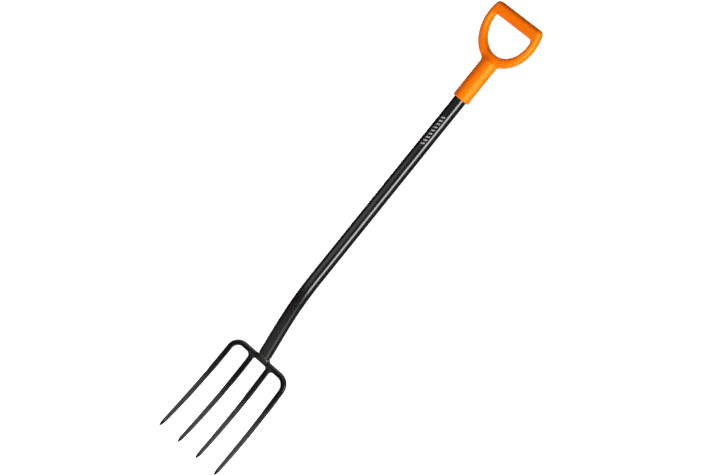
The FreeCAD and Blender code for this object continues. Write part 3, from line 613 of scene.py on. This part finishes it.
def shaft_ring(distance_down, growth):
    """Outline of the shaft at a distance along its axis, down from the origin's level."""
    outline = teardrop_outline(growth)
    bend_length = BEND_RADIUS * BEND_ANGLE
    turned = min(max(distance_down - BEND_START, 0), bend_length) / BEND_RADIUS
    straight_on = max(distance_down - BEND_START - bend_length, 0)
    back = BEND_RADIUS * (1 - math.cos(turned)) + straight_on * math.sin(turned)
    bent_drop = BEND_RADIUS * math.sin(turned) + straight_on * math.cos(turned)
    centre = np.array([0, back, -min(distance_down, BEND_START) - bent_drop])
    across = np.array([1.0, 0, 0])
    backward = np.array([0, math.cos(turned), math.sin(turned)])
    return centre + outline[:, :1] * across + outline[:, 1:] * backward


def build_sleeve(material):
    """Glossy skin over the steel tube, with a softly rounded lower lip."""
    bend_end = BEND_START + BEND_RADIUS * BEND_ANGLE
    end = bend_end + HEAD_REACH - SLEEVE_END_GAP
    lip = 0.6 * MM
    upper_rings, bend_rings, lower_rings, lip_rings = 60, 30, 14, 5
    stations = [*np.linspace(-SOCKET_BORE_DEPTH, BEND_START, upper_rings),
                *np.linspace(BEND_START, bend_end, bend_rings)[1:],
                *np.linspace(bend_end, end - lip, lower_rings)[1:]]
    rings = [shaft_ring(station, 0) for station in stations]
    for turn in np.linspace(0, math.pi / 2, lip_rings)[1:]:
        rings.append(shaft_ring(end - lip + lip * math.sin(turn), lip * (math.cos(turn) - 1)))
    inner = -SLEEVE_THICKNESS
    rings.append(shaft_ring(end, inner))
    for station in reversed(stations):
        rings.append(shaft_ring(station, inner))
    size = len(rings[0])
    faces = [face[::-1] for face in tube_faces(len(rings), size)]
    last = (len(rings) - 1) * size
    for k in range(size):
        following = (k + 1) % size
        faces.append((last + following, last + k, k, following))
    make_piece("shaft_skin", np.concatenate(rings), faces, material, ["shaft_sleeve"])


def build_mark(material):
    """Generic print on the shaft's front: a row of plain slanted bars."""
    bars = 9
    columns = 9
    top, bottom = -44 * MM, -126 * MM
    half_arc = math.radians(15)
    centre_turn = math.radians(8)
    slant = 3.4 * MM
    pitch = (top - bottom - slant) / bars
    bar_height = 0.44 * pitch
    ink_thickness = 0.04 * MM
    radius = SHAFT_FRONT_RADIUS + ink_thickness
    vertices = []
    faces = []
    for bar in range(bars):
        start = bottom + bar * pitch
        for column in range(columns):
            share = column / (columns - 1)
            turn = centre_turn + half_arc * (2 * share - 1)
            place = (radius * math.sin(turn), -radius * math.cos(turn))
            for rise in (0, bar_height):
                vertices.append((*place, start + slant * share + rise))
        first = bar * 2 * columns
        for column in range(columns - 1):
            low = first + 2 * column
            faces.append((low, low + 2, low + 3, low + 1))
    make_piece("shaft_print", vertices, faces, material)


# ---------------------------------------------------------------- head

def rounded_rectangle(width, depth, rounding, per_corner=6):
    """Outline about the origin, anticlockwise, with a point in the middle of each side."""
    points = []
    for quarter, (sign_x, sign_y) in enumerate(((1, -1), (1, 1), (-1, 1), (-1, -1))):
        x = sign_x * (width / 2 - rounding)
        y = sign_y * (depth / 2 - rounding)
        for turn in np.linspace((quarter - 1) * math.pi / 2, quarter * math.pi / 2, per_corner):
            points.append((x + rounding * math.cos(turn), y + rounding * math.sin(turn)))
        points.append(((width / 2, 0), (0, depth / 2), (-width / 2, 0), (0, -depth / 2))[quarter])
    return np.array(points)


def unevenness(place, seed):
    """Slow forging wear along a bar, from 0 where it is full to about 1 where it is thinnest."""
    wave = sum(weight * math.sin(place / length + phase * seed) for length, phase, weight in WEAR_WAVES)
    highest = sum(weight for _, _, weight in WEAR_WAVES)
    return 0.5 - 0.5 * wave / highest


def section_ring(centre, across, width, depth, place, seed):
    """Ring of a bar's section in the head's frame, across it and front to back, slightly uneven."""
    widest_rounding = 0.49
    width = width * (BAR_FIT - WEAR_SHARE * unevenness(place, seed))
    depth = depth * (1 - WEAR_SHARE * unevenness(place, seed + WEAR_DEPTH_SHIFT))
    rounding = BAR_ROUNDING / BAR_DEPTH * depth
    outline = rounded_rectangle(width, depth, min(rounding, widest_rounding * width))
    backward = np.array([0, 1.0, 0])
    return np.asarray(centre) + outline[:, :1] * np.asarray(across) + outline[:, 1:] * backward


def tine_size(drop):
    """Width and depth of a tine at a drop below the crossbar's centre."""
    share = (drop - SHOULDER_RADIUS) / (TINE_SHANK_END - SHOULDER_RADIUS)
    taper = max(share, 0) ** TINE_TAPER_POWER
    shank = [root * (1 - taper) + end * taper for root, end in zip(TINE_ROOT, TINE_END)]
    if drop <= TINE_SHANK_END:
        return shank
    sharpened = ((drop - TINE_SHANK_END) / (TINE_REACH - TINE_SHANK_END)) ** TIP_TAPER_POWER
    return [end * (1 - sharpened) + tip * sharpened for end, tip in zip(TINE_END, TINE_TIP)]


def tine_rings(side, spacing, fan, first_drop, seed):
    """Rings down one tine, from a drop below the crossbar's centre to its tip."""
    shank_rings, tip_rings = 70, 15
    drops = [*np.linspace(first_drop, TINE_SHANK_END, shank_rings),
             *np.linspace(TINE_SHANK_END, TINE_REACH - TIP_CLEARANCE, tip_rings)[1:]]
    rings = []
    for drop in drops:
        run = max(drop - SHOULDER_RADIUS, 0)
        forward = run * run / (2 * TINE_CURVE_RADIUS)
        centre = (side * (spacing + run * math.tan(fan)), -forward, -drop)
        width, depth = tine_size(drop)
        rings.append(section_ring(centre, (1, 0, 0), width, depth, drop, seed))
    return rings


def to_tool(points):
    """Head-frame points in the tool's frame."""
    turn = Matrix.Rotation(HEAD_LEAN, 3, "X")
    return np.asarray(points) @ np.array(turn).T + np.array(HEAD_CENTRE)


def align_rings(rings):
    """Same rings, each started and turned so that its points follow the ring before."""
    aligned = [rings[0]]
    for ring in rings[1:]:
        before = aligned[-1] - aligned[-1].mean(0)
        best = None
        for candidate in (ring, ring[::-1]):
            centred = candidate - candidate.mean(0)
            for shift in range(len(ring)):
                rolled = np.roll(centred, shift, axis=0)
                cost = ((rolled - before) ** 2).sum()
                if best is None or cost < best[0]:
                    best = (cost, np.roll(candidate, shift, axis=0))
        aligned.append(best[1])
    return aligned


def bow_half(side, seed):
    """Rings of half the bow, from beside the crossbar's middle over a shoulder to an outer tip."""
    bar_parts, shoulder_parts = 13, 17
    tine_start_gap = 2 * MM
    reach = OUTER_TINE_HALF_SPACING - SHOULDER_RADIUS
    rings = []
    for x in np.linspace(0, reach, bar_parts + 1)[1:]:
        centre, across = (side * x, 0, 0), (0, 0, side)
        rings.append(section_ring(centre, across, BAR_HEIGHT, BAR_DEPTH, x, seed))
    for turn in np.linspace(0, math.pi / 2, shoulder_parts + 1)[1:]:
        centre = (side * (reach + SHOULDER_RADIUS * math.sin(turn)), 0,
                  -SHOULDER_RADIUS * (1 - math.cos(turn)))
        across = (math.sin(turn), 0, side * math.cos(turn))
        share = turn / (math.pi / 2)
        width = BAR_HEIGHT * (1 - share) + TINE_ROOT[0] * share
        depth = BAR_DEPTH * (1 - share) + TINE_ROOT[1] * share
        place = reach + SHOULDER_RADIUS * turn
        rings.append(section_ring(centre, across, width, depth, place, seed))
    return rings + tine_rings(side, OUTER_TINE_HALF_SPACING, OUTER_TINE_FAN,
                              SHOULDER_RADIUS + tine_start_gap, seed)


def build_bow(material):
    """Crossbar and both outer tines as one bar, from the left tip over the crossbar to the right."""
    left = bow_half(-1, WEAR_SEEDS["bow_left"])
    right = bow_half(1, WEAR_SEEDS["bow_right"])
    middle = section_ring((0, 0, 0), (0, 0, 1), BAR_HEIGHT, BAR_DEPTH, 0, WEAR_SEEDS["bow_right"])
    # The two halves' sections run opposite ways round, and align_rings makes them agree.
    vertices, faces = capped_sweep(align_rings([*reversed(left), middle, *right]))
    make_piece("bow_bar", to_tool(vertices), faces, material, ["tine_bow"])


def build_inner_tine(side, material):
    """One inner tine, from inside the crossbar to its tip."""
    name = "right" if side > 0 else "left"
    start_drop = 2 * MM
    seed = WEAR_SEEDS[f"tine_{name}"]
    rings = tine_rings(side, INNER_TINE_HALF_SPACING, INNER_TINE_FAN, start_drop, seed)
    vertices, faces = capped_sweep(rings)
    make_piece(f"tine_{name}", to_tool(vertices), faces, material, [f"inner_tine_{name}"])


def bar_distance(back, up):
    """Distance to the crossbar, taken as endless from side to side."""
    return rounded_box_distance(up, back, BAR_HEIGHT / 2, BAR_DEPTH / 2, BAR_ROUNDING)


def build_root_weld(side, material):
    """Fillet weld between an inner tine's root and the crossbar, wider on the tine's outer side."""
    outer_leg, inner_leg, least_leg = 11.5 * MM, 7 * MM, 0.1 * MM
    leg_change = 6 * MM  # width over which one leg turns into the other
    leg_top, leg_fade = 2 * MM, 6 * MM  # legs start this far above the bar's middle, and grow over this
    depth_change = 10 * MM  # height over which the bar's depth turns into the tine's
    edge_rounding = 2.2 * MM
    crown_rise = 0.35 * MM
    ripple_height, ripple_length = 0.12 * MM, 0.6 * MM
    kept_drop, kept_half_width, kept_half_height, kept_rounding = 8 * MM, 18 * MM, 13 * MM, 2 * MM

    def distance(x, y, z):
        back, up = in_head(y, z)
        beside = x * side - INNER_TINE_HALF_SPACING
        tine = np.maximum(np.abs(beside) - TINE_ROOT[0] / 2 + WELD_INSET, up)
        bar = np.abs(up) - BAR_HEIGHT / 2 + WELD_INSET
        outward = np.clip(0.5 + beside / leg_change, 0, 1)
        below = np.clip((leg_top - up) / leg_fade, 0, 1)
        leg = least_leg + (inner_leg + (outer_leg - inner_leg) * outward) * below
        plan = smooth_union(bar, tine, leg)
        raised = np.clip((np.minimum(bar, tine) - plan) / BEAD_FULL_DEPTH, 0, 1)
        low = np.clip((-up - BAR_HEIGHT / 2) / depth_change, 0, 1)
        half_depth = (BAR_DEPTH + (TINE_ROOT[1] - BAR_DEPTH) * low) / 2 - WELD_INSET
        ripple = ripple_height * np.sin((beside + up) / ripple_length)
        crown = half_depth + (crown_rise + ripple) * raised
        solid = round_intersection(plan, np.abs(back) - crown, edge_rounding)
        kept = rounded_box_distance(beside, up + kept_drop, kept_half_width, kept_half_height,
                                    kept_rounding)
        return np.maximum(solid, kept)

    name = "right" if side > 0 else "left"
    centre = Vector((side * INNER_TINE_HALF_SPACING, HEAD_CENTRE.y, HEAD_CENTRE.z - 6 * MM))
    half = Vector((21 * MM, 8 * MM, 16 * MM))
    grid_step = 0.6 * MM
    solid_from_distance(f"root_fillet_{name}", distance, centre - half, centre + half, grid_step,
                        material, [f"inner_weld_{name}"])


def build_collar(material):
    """Weld collar from the tube's end down to the crossbar, with a rippled bead."""
    blend = 9 * MM
    tube_start, tube_rounding = 4 * MM, 3 * MM
    ripples_round, ripple_lead, ripple_height = 26, 0.8 * MM, 0.16 * MM
    ripple_fade = 2 * MM
    kept_half_width = 24 * MM

    def distance(x, y, z):
        back, up = in_head(y, z)
        shaft_back, shaft_up = in_lower_shaft(y, z)
        tube = teardrop_distance(x, shaft_back, -SLEEVE_THICKNESS - WELD_INSET)
        tube = np.maximum(tube, shaft_up - 3 * TUBE_END_GAP)
        tube = round_intersection(tube, tube_start - shaft_up, tube_rounding)
        bar = bar_distance(back, up) + WELD_INSET
        blended = smooth_union(bar, tube, blend)
        turn = np.arctan2(x, -shaft_back)
        ripple = ripple_height * np.sin(turn * ripples_round + shaft_up / ripple_lead)
        near_weld = np.clip((TUBE_END_GAP + ripple_fade / 2 - shaft_up) / ripple_fade, 0, 1)
        raised = np.clip((np.minimum(bar, tube) - blended) / BEAD_FULL_DEPTH, 0, 1)
        kept = np.maximum(np.abs(x) - kept_half_width, shaft_up - 2 * TUBE_END_GAP)
        return np.maximum(blended + ripple * near_weld * raised, kept)

    centre = Vector((0, HEAD_CENTRE.y - 2 * MM, HEAD_CENTRE.z + 8 * MM))
    half = Vector((26 * MM, 24 * MM, 18 * MM))
    grid_step = 0.7 * MM
    solid_from_distance("shaft_collar", distance, centre - half, centre + half, grid_step,
                        material, ["shaft_weld"])


# ---------------------------------------------------------------- studio

def compass(azimuth, distance, height):
    """Place at an azimuth from the tool's front towards +X, a distance from its axis."""
    angle = math.radians(azimuth)
    return Vector((distance * math.sin(angle), -distance * math.cos(angle), height))


def softbox(name, azimuth, distance, height, width, tall, radiance, aim_height, colour=WHITE,
            glossy=True, diffuse=True):
    """Rectangular lamp that faces the tool's axis, its brightness given as a radiance."""
    data = bpy.data.lights.new(name, "AREA")
    data.shape = "RECTANGLE"
    data.size = width
    data.size_y = tall
    data.color = colour
    data.energy = radiance * math.pi * width * tall
    lamp = bpy.data.objects.new(name, data)
    bpy.context.scene.collection.objects.link(lamp)
    lamp.location = compass(azimuth, distance, height)
    facing = Vector((0, 0, aim_height)) - lamp.location
    lamp.rotation_euler = facing.to_track_quat("-Z", "Y").to_euler()
    lamp.visible_camera = False
    lamp.visible_glossy = glossy
    lamp.visible_diffuse = diffuse


def build_world():
    """White for the camera, a soft fill for the surfaces and a dark room in reflections.

    Fill and room grow brighter downward, between two heights of the unit sphere of directions.
    """
    upper_height, lower_height = -0.38, -0.6
    camera_white = 1.2
    fill_above, fill_below = 0.07, 0.2
    room_above, room_below = 0.035, 0.5
    world = bpy.data.worlds.new("studio")
    bpy.context.scene.world = world
    world.use_nodes = True
    tree = world.node_tree
    tree.nodes.clear()
    output = tree.nodes.new("ShaderNodeOutputWorld")
    path = tree.nodes.new("ShaderNodeLightPath")

    def background(strength):
        made = tree.nodes.new("ShaderNodeBackground")
        made.inputs["Color"].default_value = (*WHITE, 1)
        made.inputs["Strength"].default_value = strength
        return made.outputs["Background"]

    def choose(share, first, second):
        made = tree.nodes.new("ShaderNodeMixShader")
        tree.links.new(share, made.inputs["Fac"])
        tree.links.new(first, made.inputs[1])
        tree.links.new(second, made.inputs[2])
        return made.outputs["Shader"]

    direction = tree.nodes.new("ShaderNodeTexCoord")
    split = tree.nodes.new("ShaderNodeSeparateXYZ")
    tree.links.new(direction.outputs["Generated"], split.inputs["Vector"])
    below = tree.nodes.new("ShaderNodeMapRange")
    tree.links.new(split.outputs["Z"], below.inputs["Value"])
    below.inputs["From Min"].default_value = upper_height
    below.inputs["From Max"].default_value = lower_height
    fill = choose(below.outputs["Result"], background(fill_above), background(fill_below))
    room = choose(below.outputs["Result"], background(room_above), background(room_below))
    shaded = choose(path.outputs["Is Glossy Ray"], fill, room)
    surface = choose(path.outputs["Is Camera Ray"], shaded, background(camera_white))
    tree.links.new(surface, output.inputs["Surface"])


def build_floor():
    """Pale round floor just under the tines' tips, lit to white."""
    radius = 1.6
    sides = 96
    gap = 0.5 * MM
    grey, pale = (0.9, 0.9, 0.9), (0.94, 0.94, 0.94)
    shader = Shader("pale_floor")
    speckle = shader.noise(35, 4)
    colour = shader.mix(speckle, grey, pale)
    material = shader.finish(colour, shader.ramp(speckle, 0.3, 0.7, 0.85, 0.95),
                             shader.bump(speckle, 0.2 * MM, 0.1))
    shader.surface.inputs["Emission Color"].default_value = (*WHITE, 1)
    shader.surface.inputs["Emission Strength"].default_value = 1.3
    level = CAD_LOW.z - gap
    turns = [2 * math.pi * k / sides for k in range(sides)]
    rim = [(radius * math.cos(turn), radius * math.sin(turn), level) for turn in turns]
    mesh = bpy.data.meshes.new("floor")
    mesh.from_pydata(rim, [], [tuple(range(sides))])
    mesh.materials.append(material)
    floor = bpy.data.objects.new("floor", mesh)
    bpy.context.scene.collection.objects.link(floor)
    floor.visible_glossy = False
    floor.visible_diffuse = False
    floor.visible_shadow = False


def build_lights():
    """Boxes and strips that show only in reflections, and keys, a rim and a top lamp that only shade.

    Each line has an azimuth in degrees, distance, height, width, tallness, radiance and the height
    of the point on the axis that the lamp faces.
    """
    warm = (1, 0.92, 0.8)
    orange = (1.12, 0.75, 0.52)
    cyan = (0.9, 1.18, 1.3)
    green = (0.7, 1.3, 0.9)
    softbox("right_strip", 64, 2.2, -0.1, 1.05, 1.7, 13.8, -0.3, diffuse=False)
    softbox("right_low_box", 82, 2.2, -1.75, 1.3, 0.9, 1.9, -0.75, diffuse=False)
    softbox("front_left_box", -22, 2.6, -0.57, 2.8, 0.84, 1.38, -0.3, diffuse=False)
    softbox("front_key", 21, 2.8, -1.2, 1.3, 1.6, 11.2, -0.1, orange, glossy=False)
    softbox("right_key", 72, 2.8, -0.3, 1.3, 1.8, 7.2, -0.2, cyan, glossy=False)
    softbox("right_rim", 108, 2.8, -0.1, 0.9, 1.8, 4, -0.2, green, glossy=False)
    softbox("back_box", 200, 2.8, 0.3, 1.6, 2.4, 1.6, -0.3, diffuse=False)
    softbox("back_strip", 226, 2.4, -0.1, 0.5, 1.8, 9, -0.3, diffuse=False)
    softbox("back_key", 196, 2.8, 0.1, 1.3, 1.8, 7, -0.2, warm, glossy=False)
    softbox("back_top", 180, 2.2, 2.6, 1.2, 1.2, 12, 0, warm, glossy=False)
    softbox("back_low_box", 158, 2.4, -1.6, 2.6, 1, 0.9, -0.8, diffuse=False)


def build_camera():
    """Long lens at the tool's front right, a little above its middle, rolled so the tool leans."""
    azimuth = math.radians(23.9121)
    elevation = math.radians(2.433)
    roll = math.radians(38.8757)
    distance = 6.2122
    aim = Vector((0, 0, -0.36))
    across, upward = -0.0034, -0.01346
    lens_mm, sensor_mm = 148.6366, 36
    right = Vector((math.cos(azimuth), math.sin(azimuth), 0))
    level_forward = Vector((-math.sin(azimuth), math.cos(azimuth), 0))
    forward = level_forward * math.cos(elevation) - Vector((0, 0, math.sin(elevation)))
    up = right.cross(forward)
    rolled_right = right * math.cos(roll) + up * math.sin(roll)
    rolled_up = up * math.cos(roll) - right * math.sin(roll)
    data = bpy.data.cameras.new("camera")
    data.sensor_width = sensor_mm
    data.lens = lens_mm
    data.clip_start = 0.1
    data.clip_end = 100
    camera = bpy.data.objects.new("camera", data)
    bpy.context.scene.collection.objects.link(camera)
    place = aim + rolled_right * across + rolled_up * upward - forward * distance
    camera.matrix_world = Matrix((
        (rolled_right.x, rolled_up.x, -forward.x, place.x),
        (rolled_right.y, rolled_up.y, -forward.y, place.y),
        (rolled_right.z, rolled_up.z, -forward.z, place.z),
        (0, 0, 0, 1),
    ))
    bpy.context.scene.camera = camera


# ---------------------------------------------------------------- assembly

steel = painted_steel("satin_black_steel", low=(0.0042, 0.0048, 0.0046), high=(0.0066, 0.0074, 0.0072),
                      roughness_range=(0.12, 0.2), coarse_bump=0.14 * MM)
weld = painted_steel("painted_weld", low=(0.0045, 0.005, 0.0048), high=(0.008, 0.0086, 0.0084),
                     roughness_range=(0.2, 0.3), coarse_bump=0.3 * MM, wear=0.8)
tube = painted_steel("painted_tube", low=(0.012, 0.012, 0.0125), high=(0.018, 0.018, 0.019),
                     roughness_range=(0.3, 0.4), coarse_bump=0.1 * MM, wear=0.5)

build_handle(handle_material())
build_sleeve(sleeve_material())
build_mark(print_material())
build_bow(steel)
build_inner_tine(-1, steel)
build_inner_tine(1, steel)
build_root_weld(-1, weld)
build_root_weld(1, weld)
build_collar(weld)

for node, finish in (("shaft_tube", tube), ("head_tang", steel), ("handle_screw", zinc_material())):
    cad_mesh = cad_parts[node].data
    cad_mesh.materials.clear()
    cad_mesh.materials.append(finish)

build_world()
build_floor()
build_lights()
build_camera()
bpy.context.scene.view_settings.view_transform = "Standard"
